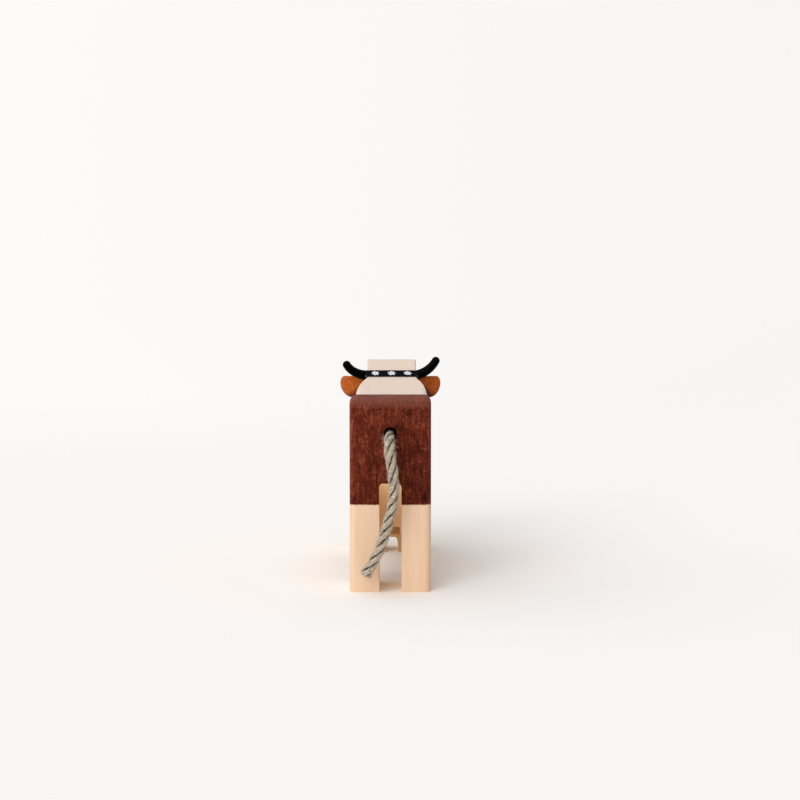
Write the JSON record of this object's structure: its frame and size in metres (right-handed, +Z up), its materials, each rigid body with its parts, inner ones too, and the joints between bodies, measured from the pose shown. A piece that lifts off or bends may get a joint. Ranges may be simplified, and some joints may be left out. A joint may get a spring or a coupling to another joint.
{
  "type": "cow figurine",
  "caption": "Standing cow sawn from one board, with horns, leather ears, a ribbon collar with a swinging bell and a cord tail.",
  "frame": {"origin": "on the floor under the middle of the cow, halfway between rump and muzzle", "axes": "+Z up from the feet, +Y from the rump towards the muzzle, +X to the cow's right-hand side"},
  "size_m": [0.045, 0.1293, 0.0841],
  "materials": {
    "cow_wood": "sanded, stained dark brown over rump and back, pale on legs, neck and head",
    "horn_black": "black satin lacquer",
    "ear_leather": "tan split leather",
    "woven_ribbon": "dark woven ribbon with small white flowers",
    "wire_brass": "drawn wire",
    "bell_brass": "turned and polished",
    "hemp_cord": "laid hemp cord, cut end"
  },
  "bodies": {
    "cow": {"wooden_body": "cow_wood", "left_horn": "horn_black", "right_horn": "horn_black", "left_ear": "ear_leather", "right_ear": "ear_leather", "collar_ribbon": "woven_ribbon", "tail_cord": "hemp_cord"},
    "ring": {"bell_ring": "wire_brass"},
    "bell": {"bell_cup": "bell_brass", "bell_hanger": "wire_brass"},
    "clapper": {"bell_clapper": "wire_brass"}
  },
  "joints": [
    {"name": "ring_swing", "type": "hinge", "parent": "cow", "child": "ring", "pos_m": [0, 0.04312, 0.04286], "axis": [1, 0, 0], "range_deg": [-4, 25]},
    {"name": "bell_swing", "type": "hinge", "parent": "ring", "child": "bell", "pos_m": [0, 0.04312, 0.03786], "axis": [0, 1, 0], "range_deg": [-35, 35]},
    {"name": "clapper_swing", "type": "hinge", "parent": "bell", "child": "clapper", "pos_m": [0, 0.04312, 0.03219], "axis": [1, 0, 0], "range_deg": [-16, 16]}
  ]
}
